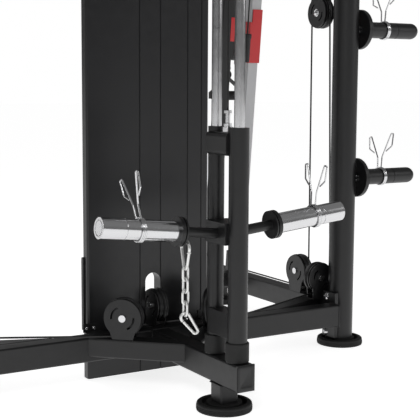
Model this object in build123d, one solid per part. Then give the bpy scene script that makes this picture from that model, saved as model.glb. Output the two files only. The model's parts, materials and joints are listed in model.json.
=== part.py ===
"""Functional trainer with one weight stack and a plate-loaded carriage behind it.

Frame: millimetres, +Z up, origin on the floor under the middle of the machine. The user stands on
the -Y side and the carriage is on the +Y side. Left and right halves match, apart from the centre
pulley's offset, one spring collar's place and the chain on the right horn.
"""

import os
from math import asin, atan2, cos, degrees, radians, sin, tan

from build123d import *

# ---------------------------------------------------------------- driving dimensions
WALL = 3                   # wall of the rectangular tubes
CORNER = 5                 # outer corner radius of the rectangular tubes
END_CAP = 4                # plate that closes an open tube end

BEAM_W, BEAM_H = 50, 65    # base beams: width and height of the tube
BEAM_TOP = 132
BEAM_BOTTOM = BEAM_TOP - BEAM_H
BEAM_MID = (BEAM_TOP + BEAM_BOTTOM) / 2

COLUMN_X, COLUMN_Y, COLUMN_R = 655, 145, 38
COLUMN_TOP = 2050
CROSS_Y = 177              # centre line of the rear cross beam
FLANGE_X = 609             # inboard face of the cross beam's end flange
FLANGE_T = 6
FLANGE_Y, FLANGE_W = 148, 60
FLANGE_Z0, FLANGE_Z1 = 26, 163
FLANGE_BOLT_Y, FLANGE_BOLT_Z = 134, (38, 149)
FLANGE_BOLT_R, FLANGE_HEAD_R = 5, 11
SADDLE_T = 3               # wall of the half sleeve that wraps each rear column
BRACE_TUBE = 50            # square tube of the diagonal braces and front outriggers
BASE_PLATE_X, BASE_PLATE_T = 120, 12   # plate under the weight stack
SIDE_X = 648               # centre line of the side beams
DEPTH_HALF = 626           # front and rear extreme of the machine

PAD_R, PAD_H = 68.5, 20
PAD_RECESS_R = 56
FRONT_PAD_X, FRONT_PAD_Y = 650, -(DEPTH_HALF - PAD_R)
CENTRE_PAD_Y = 530

LEAN = 6.0                 # the front columns lean this many degrees rearward
FRONT_Y = -441             # where the leaning columns meet the top of the side beams
PULLEY_COLUMN_X = 647
PULLEY_COLUMN_W = 40
UPRIGHT_X = 540
UPRIGHT_W = 40
LEAN_TOP = 1835            # length of the leaning columns, along the lean
HOLE_FIRST, HOLE_PITCH = 130, 50
PIN_HOLE_R = 5.5
LEAN_SLEEVE = (752, 1250)  # outer sleeve of each front upright, along the lean
LEAN_SLEEVE_T = 6
SOCKET_T = 7               # wall of the sockets at both ends of the leaning columns
SOCKET_H = 70

TOP_Z = 2040               # upper face of the top frame
TOP_TUBE = 50
TOP_FRONT_Y = -260
ROD_PLATE_T = 10           # plate under the top frame that holds the stack's guide rods
CHIN_BAR_X, CHIN_BAR_IN = 430, 300
CHIN_BAR_REACH, CHIN_BAR_RISE, CHIN_BAR_R = 150, 45, 16

ROD_R = 12.5               # carriage guide rods
ROD_Y = (485, 587)
SLEEVE_RADII, SLEEVE_Z0, SLEEVE_Z1 = (20, 24), 180, 690   # front and rear sleeve
HORN_BLOCK_Z, TOP_BLOCK_Z, FOOT_BLOCK_Z = (413, 465), (624, 678), (187, 248)
BUMPER_RADII = (26, 28.5)
STUD_FOOT_R = 13
STUD_STEPS = [(690, 698, 10), (698, 722, 5), (722, 729, 9.5)]  # bottom, top and radius
RUNNING = 0.06             # radial clearance of running and sliding fits

HORN_Y, HORN_Z, HORN_TILT = 536, 434, 6.2
HORN_R = 12.5
HORN_SLEEVE_R = 25
HORN_STOP, HORN_START, HORN_TIP = 124, 140, 337
HORN_COLLARS = {"left": 258, "right": 235}
HORN_GROOVE = 275
HORN_DISC_R, HORN_CORE_R = 35, 30
HORN_DISC_T, HORN_CORE_T = 4, 3      # the inner disc, and the core between the two discs
SLEEVE_OVERHANG = 8        # the sleeve ends this far outside the horn's solid bar
GROOVE_W, GROOVE_DEPTH = 2, 1
BLOCK_X, BLOCK_Y0, BLOCK_Y1 = 31, 487, 578
CHAIN_X, HOOK_Z = 114, 427   # lug under the right horn that holds the chain's upper hook
HOOK_WIRE, LUG_HALF_T = 3.5, 2

PEG_Z = (508, 952)
PEG_R, PEG_DISC_R = 24, 59
PEG_DISC_X, PEG_DISC_T, PEG_END_X = 699, 12, 928
PEG_COLLAR, PEG_GROOVE = 800, 838
PEG_CORE_R = 15
PEG_SCREW_X, PEG_SCREW_R = 727, 3

WHEEL_R, SMALL_WHEEL_R, WHEEL_W = 52, 46.5, 22
CABLE_R = 2.5
GROOVE_DROP = 4.5          # depth of the groove's bottom below the rim
CABLE_PATH_R, SMALL_PATH_R = [radius - GROOVE_DROP + CABLE_R for radius in (WHEEL_R, SMALL_WHEEL_R)]
AXLE_R = 6
PLATE_GAP, PLATE_T, PLATE_R, SMALL_PLATE_R = 12.5, 4, 50, 44.5
BRACKET_FOOT_T = 3
AXLE_CAP_R, AXLE_CAP_T = 9.5, 4
INNER_WHEEL_Z, OUTER_WHEEL_Z = 188, 199

STACK_Y, STACK_Z0 = 55, 300
PLATE_X, PLATE_Y, PLATE_H = 220, 100, 30
PLATES, LIFTED = 15, 5
STACK_TOP = STACK_Z0 + PLATES * PLATE_H
STEM_RISE = 50
STACK_ROD_X, STACK_ROD_R = 80, 10
STACK_BUMPER_R = 20
STEM_R, PIN_R = 11, 5
SLOT_CLEARANCE = 0.5       # radial clearance of the weight plates on rods and stem

SHROUD_Y = 138
SHROUD_TOP = 1900
SHEET = 2
SHROUD_HALF = 184          # half width of the rear shroud
FOLDS, FOLD_HALF, FOLD_DEPTH = (-162, -118, -34, 29), 2.5, 3   # vertical grooves of the rear shroud
SLOT_X, SLOT_HALF, SLOT_TOP, SLOT_DEPTH = -10, 25, 277, 37
SHROUD_BOLT_X, SHROUD_BOLT_Z, SHROUD_BOLT_R = (169.5, 190.5), 142, 3
STRIP_Y, STRIP_TOP = (106, 118), 330    # narrow strip beside the rear shroud

SIDES = {"left": -1, "right": 1}

os.makedirs("parts", exist_ok=True)


# ---------------------------------------------------------------- shared shapes
def save(name, *shapes):
    """Write one node: a group of separate solids."""
    solids = [solid for shape in shapes for solid in shape.solids()]
    export_step(Compound(children=solids), f"parts/{name}.step")


def block(x0, x1, y0, y1, z0, z1):
    """A box between two corners."""
    size = Box(abs(x1 - x0), abs(y1 - y0), abs(z1 - z0))
    return Pos((x0 + x1) / 2, (y0 + y1) / 2, (z0 + z1) / 2) * size


def rod(start, end, radius):
    """A round bar between two points."""
    axis = Vector(*end) - Vector(*start)
    return extrude(Plane(origin=start, z_dir=axis) * Circle(radius), amount=axis.length)


def tube(start, end, width, height, wall=WALL, corner=CORNER):
    """A rectangular tube; its height is vertical, or along Y on an upright tube."""
    axis = Vector(*end) - Vector(*start)
    across = axis.cross(Vector(0, 0, 1))
    if across.length < 0.5 * axis.length:
        across = Vector(1, 0, 0)
    section = RectangleRounded(width, height, corner)
    section -= RectangleRounded(width - 2 * wall, height - 2 * wall, max(corner - wall, 0.6))
    return extrude(Plane(origin=start, x_dir=across, z_dir=axis) * section, amount=axis.length)


def mirrored(shape):
    """The shape and its mirror image on the other side of the machine."""
    return [shape, mirror(shape, about=Plane.YZ)]


def dome_bolt(point, direction, head_r=9, head_h=6, shank_r=5, shank=12):
    """A domed bolt whose head stands on the point and whose shank goes the other way."""
    dome_r = (head_r ** 2 + head_h ** 2) / (2 * head_h)
    head = Pos(0, 0, head_h - dome_r) * Sphere(dome_r)
    head &= Pos(0, 0, head_h) * Box(3 * head_r, 3 * head_r, 2 * head_h)
    head -= Pos(0, 0, head_h) * extrude(RegularPolygon(3, 6), amount=-3)
    body = head + Pos(0, 0, -shank / 2) * Cylinder(shank_r, shank)
    return Plane(origin=point, z_dir=direction) * body


def leaning(side, x_offset=0.0):
    """Local frame of a leaning column: origin on the side beam, Z along the lean."""
    return Pos(side * (PULLEY_COLUMN_X - x_offset), FRONT_Y, BEAM_TOP) * Rot(-LEAN, 0, 0)


def wire_loop(centre, start_angle, end_angle, radius, wire_r):
    """Part of a wire ring in the local XZ plane, angles from +X towards +Z."""
    ring = Pos(*centre) * Rot(90, 0, 0) * Torus(radius, wire_r)
    reach = 3 * radius
    corners = [(0, 0)]
    steps = 6
    for i in range(steps + 1):
        angle = radians(start_angle + (end_angle - start_angle) * i / steps)
        corners.append((reach * cos(angle), reach * sin(angle)))
    wedge = extrude(Plane.XZ * make_face(Polyline(*corners, close=True)), amount=3 * wire_r, both=True)
    return ring & (Pos(*centre) * wedge)


# ---------------------------------------------------------------- pulleys
def wheel(radius=WHEEL_R):
    """A grooved cable wheel about the X axis."""
    groove, bore = radius - GROOVE_DROP, AXLE_R + RUNNING
    half = WHEEL_W / 2
    lip = CABLE_R + 1.2
    hub, web = 14, 4
    rim = groove - 6
    points = [
        (bore, -half), (hub, -half), (hub + 1, -web), (rim - 1, -web), (rim, -half + 1),
        (radius, -half + 1), (radius, -lip - 2), (groove + CABLE_R, -lip), (groove, -CABLE_R * 0.8),
        (groove, CABLE_R * 0.8), (groove + CABLE_R, lip), (radius, lip + 2), (radius, half - 1),
        (rim, half - 1), (rim - 1, web), (hub + 1, web), (hub, half), (bore, half),
    ]
    profile = make_face(Polyline(*points, close=True))
    body = revolve(profile, axis=Axis.Y)
    return Rot(0, 0, -90) * body


def arc_slot(radius, width, middle, span):
    """An arc-shaped slot in the local YZ plane, cut right through along X."""
    ring = Circle(radius + width / 2) - Circle(radius - width / 2)
    reach = 2 * radius
    half = radians(span / 2)
    wedge = make_face(Polyline((0, 0), (reach * cos(half), -reach * sin(half)),
                               (reach * cos(half), reach * sin(half)), close=True))
    cutter = extrude(ring & wedge, amount=30, both=True)
    return Rot(middle, 0, 0) * Rot(0, 90, 0) * Rot(0, 0, 90) * cutter


def cheek(foot, neck=56, radius=PLATE_R):
    """One bracket side plate in the local YZ plane: a disc on a neck that reaches down by foot."""
    outline = Circle(radius)
    if foot:
        shoulder = radius * 0.72
        drop = -radius * 0.6
        outline += make_face(Polyline((-shoulder, drop), (-neck / 2, -foot), (neck / 2, -foot),
                                      (shoulder, drop), (0, 0), close=True))
    outline -= Circle(AXLE_R)
    plate = extrude(outline, amount=PLATE_T / 2, both=True)
    plate = Rot(0, 0, 90) * Rot(90, 0, 0) * plate
    for middle in (150, -30):
        plate -= arc_slot(radius * 0.6, 5, middle, 70)
    return plate


def bracket(foot, floor=True, **options):
    """A pair of cheeks about the local X axis, joined by a foot plate."""
    offset = PLATE_GAP + PLATE_T / 2
    pair = Pos(offset, 0, 0) * cheek(foot, **options)
    pair += Pos(-offset, 0, 0) * cheek(foot, **options)
    if floor:
        span = PLATE_GAP + PLATE_T
        pair += block(-span, span, -28, 28, -foot, -foot + BRACKET_FOOT_T)
    return pair


def axle():
    """A through bolt about the local X axis, with a flat cap outside each cheek."""
    outer = PLATE_GAP + PLATE_T
    body = rod((-outer - 1, 0, 0), (outer + 1, 0, 0), AXLE_R)
    for sign in (-1, 1):
        body += rod((sign * outer, 0, 0), (sign * (outer + AXLE_CAP_T), 0, 0), AXLE_CAP_R)
    return body


CORNER_X, CORNER_Y = 613, 87       # corner pulleys, in front of the columns
SIDE_CABLE_X, BASE_WHEEL_Y = 631, -38
BRACE_ANGLE = degrees(atan2(137, 147))
BRACE_OUT = Vector(sin(radians(BRACE_ANGLE)), cos(radians(BRACE_ANGLE)), 0)
BRACE_FACE = Vector(147, 264, 0)
BRACE_WHEEL = BRACE_FACE - BRACE_OUT * 20
BRACE_TURN = 90 - BRACE_ANGLE

SMALL_WHEELS = ("centre_pulley", "left_corner_pulley", "right_corner_pulley")
# Every fixed wheel: name -> placements of its centre, with the axle along local X.
WHEELS = {
    "centre_pulley": [Pos(SLOT_X, 154, INNER_WHEEL_Z)],
    "front_base_pulleys": [Pos(side * SIDE_CABLE_X, BASE_WHEEL_Y, OUTER_WHEEL_Z) for side in (-1, 1)],
}
for side_name, side in SIDES.items():
    WHEELS[f"{side_name}_brace_pulley"] = [
        Pos(side * BRACE_WHEEL.X, BRACE_WHEEL.Y, INNER_WHEEL_Z) * Rot(0, 0, side * BRACE_TURN)]
    WHEELS[f"{side_name}_corner_pulley"] = [Pos(side * CORNER_X, CORNER_Y, OUTER_WHEEL_Z) * Rot(0, 0, 90)]
FLOAT_Y, FLOAT_Z = 52, 1003
FLOAT_EYE = 100                    # top of the floating bracket's stem above its wheel's centre
FLOAT_PLACES = [Pos(side * SIDE_CABLE_X, FLOAT_Y, FLOAT_Z) for side in (-1, 1)]


def make_pulleys():
    """Base pulleys with their brackets and axle bolts, and the floating pulleys."""
    brackets = []
    axles = []
    for name, places in WHEELS.items():
        small = name in SMALL_WHEELS
        radius, plate_r = (SMALL_WHEEL_R, SMALL_PLATE_R) if small else (WHEEL_R, PLATE_R)
        save(name, *[place * wheel(radius) for place in places])
        brackets += [place * bracket(place.position.Z - BEAM_TOP, radius=plate_r) for place in places]
        axles += [place * axle() for place in places]
    save("pulley_brackets", *brackets)
    save("pulley_axles", *axles)
    save("float_pulleys", *[place * wheel(SMALL_WHEEL_R) for place in FLOAT_PLACES])
    hanger = Rot(180, 0, 0) * bracket(78, neck=30, radius=SMALL_PLATE_R) + rod((-14, 0, 0), (14, 0, 0), AXLE_R)
    hanger += rod((0, 0, 74), (0, 0, FLOAT_EYE), 9)
    save("float_brackets", *[place * hanger for place in FLOAT_PLACES])


# ---------------------------------------------------------------- base frame
def largest(shape):
    """The biggest separate solid of a shape, for a tube cut away around another part."""
    return max(shape.solids(), key=lambda solid: solid.volume)


def make_beams(flange_holes):
    """Rear cross beam with its end flanges, rear stub beam, braces and side beams."""
    cross = tube((-FLANGE_X, CROSS_Y, BEAM_MID), (FLANGE_X, CROSS_Y, BEAM_MID), BEAM_W, BEAM_H)
    flange = block(FLANGE_X, FLANGE_X + FLANGE_T, FLANGE_Y - FLANGE_W / 2, FLANGE_Y + FLANGE_W / 2,
                   FLANGE_Z0, FLANGE_Z1)
    for end in mirrored(flange):
        cross += end
    for hole in flange_holes:
        cross -= hole
    base_plate = block(-BASE_PLATE_X, BASE_PLATE_X, 20, CROSS_Y - BEAM_W / 2,
                       BEAM_TOP - BASE_PLATE_T, BEAM_TOP)
    for x in (-STACK_ROD_X, STACK_ROD_X):
        base_plate -= Pos(x, STACK_Y, BEAM_TOP) * Cylinder(STACK_ROD_R, 60)
    save("rear_base_beam", cross + base_plate)

    rear_face = CROSS_Y + BEAM_W / 2
    stub_end = DEPTH_HALF - END_CAP
    stub = tube((0, rear_face, BEAM_MID), (0, stub_end, BEAM_MID), BEAM_W, BEAM_H)
    stub += block(-BEAM_W / 2, BEAM_W / 2, stub_end, DEPTH_HALF, BEAM_BOTTOM, BEAM_TOP)
    stub += tube((0, CENTRE_PAD_Y, PAD_H), (0, CENTRE_PAD_Y, BEAM_BOTTOM), BEAM_W, BEAM_W)
    for y in ROD_Y:
        stub -= Pos(0, y, BEAM_TOP) * Cylinder(ROD_R, 2 * WALL + 1)
    save("rear_stub_beam", stub)

    along = Vector(BRACE_OUT.Y, -BRACE_OUT.X, 0)
    middle = BRACE_FACE - BRACE_OUT * BRACE_TUBE / 2
    brace_z = BEAM_TOP - BRACE_TUBE / 2
    start, end = [middle + along * reach + Vector(0, 0, brace_z) for reach in (-250, 250)]
    diagonal = tube(tuple(start), tuple(end), BRACE_TUBE, BRACE_TUBE)
    diagonal &= block(BEAM_W / 2, 600, rear_face, 600, 0, 200)
    corner = tube((250, 192, BEAM_MID), (760, 4, BEAM_MID), BEAM_W, BEAM_H)
    corner &= block(200, SIDE_X - BEAM_W / 2, 0, CROSS_Y - BEAM_W / 2, 0, 200)
    corner -= block(FLANGE_X, 700, FLANGE_Y - FLANGE_W / 2, 200, 0, 200)
    save("base_braces", *mirrored(diagonal), *mirrored(corner))

    beam_end = DEPTH_HALF - 32
    side_beam = tube((SIDE_X, COLUMN_Y, BEAM_MID), (SIDE_X, -beam_end, BEAM_MID), BEAM_W, BEAM_H)
    side_beam += block(SIDE_X - BEAM_W / 2, SIDE_X + BEAM_W / 2, -beam_end - END_CAP, -beam_end,
                       BEAM_BOTTOM, BEAM_TOP)
    side_beam += tube((FRONT_PAD_X, FRONT_PAD_Y, PAD_H), (FRONT_PAD_X, FRONT_PAD_Y, BEAM_BOTTOM), 46, BEAM_W)
    outrigger_end = UPRIGHT_X - 26
    side_beam += tube((SIDE_X - BEAM_W / 2, FRONT_Y, brace_z), (outrigger_end + 2, FRONT_Y, brace_z),
                      BRACE_TUBE, BRACE_TUBE)
    side_beam += block(outrigger_end, outrigger_end + 2, FRONT_Y - BRACE_TUBE / 2, FRONT_Y + BRACE_TUBE / 2,
                       BEAM_TOP - BRACE_TUBE, BEAM_TOP)
    side_beam -= Pos(COLUMN_X, COLUMN_Y, 100) * Cylinder(COLUMN_R + SADDLE_T, 400)
    side_beam -= block(SIDE_X - 60, SIDE_X + 60, COLUMN_Y - 15, COLUMN_Y + 80, 0, 200)
    save("side_beams", *[largest(half) for half in mirrored(side_beam)])


def make_columns(flange_holes):
    """Rear columns, the saddles that clamp them, and the sockets of the leaning columns."""
    column_mid = Pos(COLUMN_X, COLUMN_Y, (COLUMN_TOP + PAD_H) / 2)
    column = column_mid * Cylinder(COLUMN_R, COLUMN_TOP - PAD_H)
    column -= column_mid * Cylinder(COLUMN_R - WALL, COLUMN_TOP)
    column += Pos(COLUMN_X, COLUMN_Y, COLUMN_TOP + END_CAP / 2) * Cylinder(COLUMN_R, END_CAP)
    save("rear_columns", *mirrored(column))

    inner, outer = FLANGE_X + FLANGE_T, FLANGE_X + 2 * FLANGE_T
    saddle_mid = (FLANGE_Z0 + FLANGE_Z1) / 2
    saddle = Pos(COLUMN_X, COLUMN_Y, saddle_mid) * Cylinder(COLUMN_R + SADDLE_T, FLANGE_Z1 - FLANGE_Z0)
    saddle &= block(inner, 800, 0, COLUMN_Y + 12, 0, 300)
    saddle += block(inner, outer, FLANGE_Y - FLANGE_W / 2, FLANGE_Y + FLANGE_W / 2, FLANGE_Z0, FLANGE_Z1)
    for hole in flange_holes:
        saddle -= hole
    saddle -= Pos(COLUMN_X, COLUMN_Y, 100) * Cylinder(COLUMN_R, 400)

    outside, inside = UPRIGHT_W / 2 + SOCKET_T, UPRIGHT_W / 2
    lower = block(-outside, outside, -outside, outside, 0.2, SOCKET_H)
    lower -= block(-inside, inside, -inside, inside, -5, SOCKET_H + 20)
    lower &= Rot(LEAN, 0, 0) * block(-100, 100, -100, 100, 3, 200)
    upper = block(-outside, outside, -outside, outside, LEAN_TOP - 60, LEAN_TOP + 60)
    upper -= block(-inside, inside, -inside, inside, 0, LEAN_TOP)
    upper &= Rot(LEAN, 0, 0) * block(-100, 100, -400, 400, 0, TOP_Z - TOP_TUBE - BEAM_TOP)
    sockets = []
    for side in (-1, 1):
        for inset in (0, PULLEY_COLUMN_X - UPRIGHT_X):
            sockets += [leaning(side, inset) * lower, leaning(side, inset) * upper]
    save("column_brackets", *mirrored(saddle), *sockets)


def make_pads():
    """Round rubber feet, hollow below their rims."""
    recess = Cylinder(PAD_RECESS_R, PAD_H) - Cylinder(COLUMN_R + 6, PAD_H)
    foot = Cylinder(PAD_R, PAD_H) - Pos(0, 0, 7) * recess
    foot = fillet(foot.edges().group_by(Axis.Z)[-1].sort_by(SortBy.RADIUS)[-1:], 5)
    places = [(-COLUMN_X, COLUMN_Y), (COLUMN_X, COLUMN_Y), (0, CENTRE_PAD_Y),
              (-FRONT_PAD_X, FRONT_PAD_Y), (FRONT_PAD_X, FRONT_PAD_Y)]
    save("foot_pads", *[Pos(x, y, PAD_H / 2) * foot for x, y in places])


def make_base():
    """Everything that stands on the floor, and the bolts that hold it together."""
    flange_holes = [rod((-700, FLANGE_BOLT_Y, z), (700, FLANGE_BOLT_Y, z), FLANGE_BOLT_R)
                    for z in FLANGE_BOLT_Z]
    make_beams(flange_holes)
    make_columns(flange_holes)
    make_pads()
    bolts = []
    for side in (-1, 1):
        for z in FLANGE_BOLT_Z:
            bolts.append(dome_bolt((side * FLANGE_X, FLANGE_BOLT_Y, z), (-side, 0, 0), head_r=FLANGE_HEAD_R, shank=8))
        for z in PEG_Z:
            seat = (side * PEG_SCREW_X, COLUMN_Y + PEG_R, z)
            bolts.append(dome_bolt(seat, (0, 1, 0), head_r=6, head_h=5, shank_r=PEG_SCREW_R, shank=8))
        for x in SHROUD_BOLT_X:
            seat = (side * x, SHROUD_Y + 2.5, SHROUD_BOLT_Z)
            bolts.append(dome_bolt(seat, (0, 1, 0), head_r=5, head_h=4, shank_r=SHROUD_BOLT_R, shank=6.5))
    save("frame_bolts", *bolts)


def make_leaning_columns():
    """Silver pulley columns with pin holes, and black front uprights with outer sleeves."""
    half = UPRIGHT_W / 2
    beam_gap = tan(radians(LEAN)) * half + 0.3
    lower_cut = Rot(LEAN, 0, 0) * block(-100, 100, -500, 500, 0.2, 3000)
    upper_cut = Rot(LEAN, 0, 0) * block(-100, 100, -500, 500, -100, TOP_Z - TOP_TUBE - BEAM_TOP - 0.2)
    plain = tube((0, 0, -beam_gap), (0, 0, LEAN_TOP), UPRIGHT_W, UPRIGHT_W, corner=3)
    plain &= lower_cut
    plain &= upper_cut
    wide = half + LEAN_SLEEVE_T
    sleeve = block(-wide, wide, -wide, wide, *LEAN_SLEEVE)
    sleeve = fillet(sleeve.edges().filter_by(Axis.Z), 4) - block(-half, half, -half, half, 700, 1300)
    columns = []
    uprights = []
    for side in (-1, 1):
        column = plain
        for height in range(HOLE_FIRST, LEAN_TOP - HOLE_PITCH, HOLE_PITCH):
            column -= rod((0, -30, height), (0, -10, height), PIN_HOLE_R)
        columns.append(leaning(side) * column)
        uprights.append(leaning(side, PULLEY_COLUMN_X - UPRIGHT_X) * (plain + sleeve))
    save("pulley_columns", *columns)
    save("front_uprights", *uprights)


def make_top():
    """Top frame and chin-up bar."""
    mid = TOP_Z - TOP_TUBE / 2
    below = TOP_Z - TOP_TUBE
    half = TOP_TUBE / 2
    rail = tube((SIDE_X, COLUMN_Y, mid), (SIDE_X, TOP_FRONT_Y - 75, mid), TOP_TUBE, TOP_TUBE)
    rail -= Pos(COLUMN_X, COLUMN_Y, mid) * Cylinder(COLUMN_R, 100)
    rail -= block(500, 800, COLUMN_Y - 10, COLUMN_Y + 80, mid - 60, mid + 60)
    front = tube((half - SIDE_X, TOP_FRONT_Y, mid), (SIDE_X - half, TOP_FRONT_Y, mid), TOP_TUBE, TOP_TUBE)
    rear = tube((-COLUMN_X, COLUMN_Y, mid), (COLUMN_X, COLUMN_Y, mid), TOP_TUBE, TOP_TUBE)
    for x in (-COLUMN_X, COLUMN_X):
        rear -= Pos(x, COLUMN_Y, mid) * Cylinder(COLUMN_R, 100)

    stub_end = DEPTH_HALF - END_CAP
    spine_front = tube((0, TOP_FRONT_Y + half, mid), (0, COLUMN_Y - half, mid), TOP_TUBE, TOP_TUBE)
    spine_rear = tube((0, COLUMN_Y + half, mid), (0, stub_end, mid), TOP_TUBE, TOP_TUBE)
    spine_rear += block(-half, half, stub_end, DEPTH_HALF, below, TOP_Z)
    spine_front += block(-110, 110, STACK_Y - 20, STACK_Y + 20, below - ROD_PLATE_T, below)
    for x in (-STACK_ROD_X, STACK_ROD_X):
        spine_front -= Pos(x, STACK_Y, below - ROD_PLATE_T) * Cylinder(STACK_ROD_R, 40)
    for y in ROD_Y:
        spine_rear -= Pos(0, y, below) * Cylinder(ROD_R, 2 * WALL + 2)
    save("top_frame_beams", *mirrored(largest(rail)), front, largest(rear), spine_front, spine_rear)

    start_y = TOP_FRONT_Y - half
    grip_y, grip_z = start_y - CHIN_BAR_REACH, mid + CHIN_BAR_RISE
    corners = [(-CHIN_BAR_X, start_y, mid), (-CHIN_BAR_X, grip_y, mid), (-CHIN_BAR_IN, grip_y, grip_z)]
    corners += [(-x, y, z) for x, y, z in reversed(corners)]
    path = FilletPolyline(*corners, radius=60)
    save("chin_up_bar", sweep(Plane(origin=corners[0], z_dir=(0, -1, 0)) * Circle(CHIN_BAR_R), path=path))


# ---------------------------------------------------------------- carriage
def tilted(side):
    """Local frame of a plate horn: Z along the horn, outward and slightly up."""
    return Pos(0, HORN_Y, HORN_Z) * Rot(0, side * (90 - HORN_TILT), 0)


def along_horn(x):
    """Distance along the horn's axis from the vertex, for a distance x from the machine's middle."""
    return x / cos(radians(HORN_TILT))


def ring_groove(start, radius):
    """Cutter for a shallow groove round a bar of this radius about the local Z axis."""
    cutter = rod((0, 0, start), (0, 0, start + GROOVE_W), radius + 5)
    return cutter - rod((0, 0, start - 5), (0, 0, start + GROOVE_W + 5), radius - GROOVE_DEPTH)


def make_carriage():
    """Guide rods, bumpers, sliding carriage, plate horns and cable stud."""
    below_top = TOP_Z - TOP_TUBE
    rods = [rod((0, y, BEAM_TOP - WALL), (0, y, below_top + WALL), ROD_R) for y in ROD_Y]
    rods += [rod((x, STACK_Y, BEAM_TOP - BASE_PLATE_T), (x, STACK_Y, below_top), STACK_ROD_R)
             for x in (-STACK_ROD_X, STACK_ROD_X)]
    save("guide_rods", *rods)

    bumpers = []
    for y, radius in zip(ROD_Y, BUMPER_RADII):
        ring = Cylinder(radius, SLEEVE_Z0 - BEAM_TOP) - Cylinder(ROD_R, 100)
        ring = fillet(ring.edges().filter_by(GeomType.CIRCLE).sort_by(SortBy.RADIUS)[-2:], 3)
        bumpers.append(Pos(0, y, (SLEEVE_Z0 + BEAM_TOP) / 2) * ring)
    for x in (-STACK_ROD_X, STACK_ROD_X):
        ring = Cylinder(STACK_BUMPER_R, STACK_Z0 - BEAM_TOP) - Cylinder(STACK_ROD_R, 300)
        bumpers.append(Pos(x, STACK_Y, (STACK_Z0 + BEAM_TOP) / 2) * ring)
    save("rubber_bumpers", *bumpers)

    horn_block = block(-BLOCK_X, BLOCK_X, BLOCK_Y0, BLOCK_Y1, *HORN_BLOCK_Z)
    top_block = block(-BLOCK_X, BLOCK_X, BLOCK_Y0, BLOCK_Y1, *TOP_BLOCK_Z)
    frame = horn_block + fillet(top_block.edges().filter_by(Axis.Y), 10)
    frame += block(-22, 22, BLOCK_Y0, BLOCK_Y1, *FOOT_BLOCK_Z)
    height = SLEEVE_Z1 - SLEEVE_Z0
    places = [Pos(0, y, SLEEVE_Z0 + height / 2) for y in ROD_Y]
    for place, radius in zip(places, SLEEVE_RADII):
        frame += place * Cylinder(radius, height)
    for place in places:
        frame -= place * Cylinder(ROD_R + RUNNING, height + 10)
    save("carriage_frame", frame)

    stud = rod((0, HORN_Y, TOP_BLOCK_Z[1]), (0, HORN_Y, STUD_STEPS[0][0]), STUD_FOOT_R)
    for bottom, top, radius in STUD_STEPS:
        stud += rod((0, HORN_Y, bottom), (0, HORN_Y, top), radius)
    save("cable_stud", stud)

    horns = []
    sleeves = []
    tip, stop, start = along_horn(HORN_TIP), along_horn(HORN_STOP), along_horn(HORN_START)
    core_end = tip - SLEEVE_OVERHANG
    for side in (-1, 1):
        horn = rod((0, 0, 20), (0, 0, core_end), HORN_R)
        horn += rod((0, 0, stop), (0, 0, stop + HORN_DISC_T), HORN_DISC_R)
        horn += rod((0, 0, stop), (0, 0, start), HORN_CORE_R)
        horn += rod((0, 0, stop + HORN_DISC_T + HORN_CORE_T), (0, 0, start), HORN_DISC_R)
        horns.append(tilted(side) * horn - horn_block)
        sleeve = rod((0, 0, start), (0, 0, tip), HORN_SLEEVE_R)
        sleeve -= rod((0, 0, 0), (0, 0, core_end), HORN_R)
        sleeve -= ring_groove(along_horn(HORN_GROOVE), HORN_SLEEVE_R)
        face_ring = rod((0, 0, tip - 1.5), (0, 0, tip + 2), 19) - rod((0, 0, 0), (0, 0, tip + 5), 17)
        sleeves.append(tilted(side) * (sleeve - face_ring))
    lug = block(CHAIN_X - 8, CHAIN_X + 8, HORN_Y - LUG_HALF_T, HORN_Y + LUG_HALF_T, HOOK_Z - 8, HOOK_Z + 14)
    lug -= rod((CHAIN_X, HORN_Y - 10, HOOK_Z), (CHAIN_X, HORN_Y + 10, HOOK_Z), HOOK_WIRE + 1)
    horns[1] += lug
    save("plate_horns", *horns)
    save("horn_sleeves", *sleeves)


CLIP_WIRE, CLIP_PITCH = 2.1, 4.0
CLIP_REACH, CLIP_LEAN = 100, 18    # how far the fingers stand out, and lean towards the bar's tip
HORN_CLIP_SPREAD, PEG_CLIP_SPREAD = 40, 52     # half the distance between the tips of the two fingers
HORN_CLIP_TURN = {"left": 0, "right": 20}
PEG_CLIP_TURN = 9


def spring_collar(bore_r, spread):
    """A spring clip about the local Z axis: a coil with two long looped fingers on its +X side."""
    turn_r = bore_r + CLIP_WIRE + 0.4
    section = Pos(turn_r, 0) * Circle(CLIP_WIRE)
    for i in (-1, 1):
        section += Pos(turn_r, i * CLIP_PITCH) * Circle(CLIP_WIRE)
    body = revolve(Plane.XZ * section, axis=Axis.Z)
    tip = turn_r + CLIP_REACH
    for sign in (-1, 1):
        root_z = sign * CLIP_PITCH
        legs = [
            (turn_r, sign * 3.5, root_z), (turn_r + 32, sign * 8, 0.5 * root_z + 0.3 * CLIP_LEAN),
            (tip, sign * (spread - 5), CLIP_LEAN), (tip - 2, sign * (spread + 5), CLIP_LEAN),
            (tip - 38, sign * (spread + 1), 0.65 * CLIP_LEAN),
            (tip - 52, sign * (0.42 * spread + 6), 0.45 * CLIP_LEAN),
        ]
        path = FilletPolyline(*legs, radius=3)
        body += sweep(Plane(origin=path @ 0, z_dir=path % 0) * Circle(CLIP_WIRE), path=path)
    return body


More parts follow.
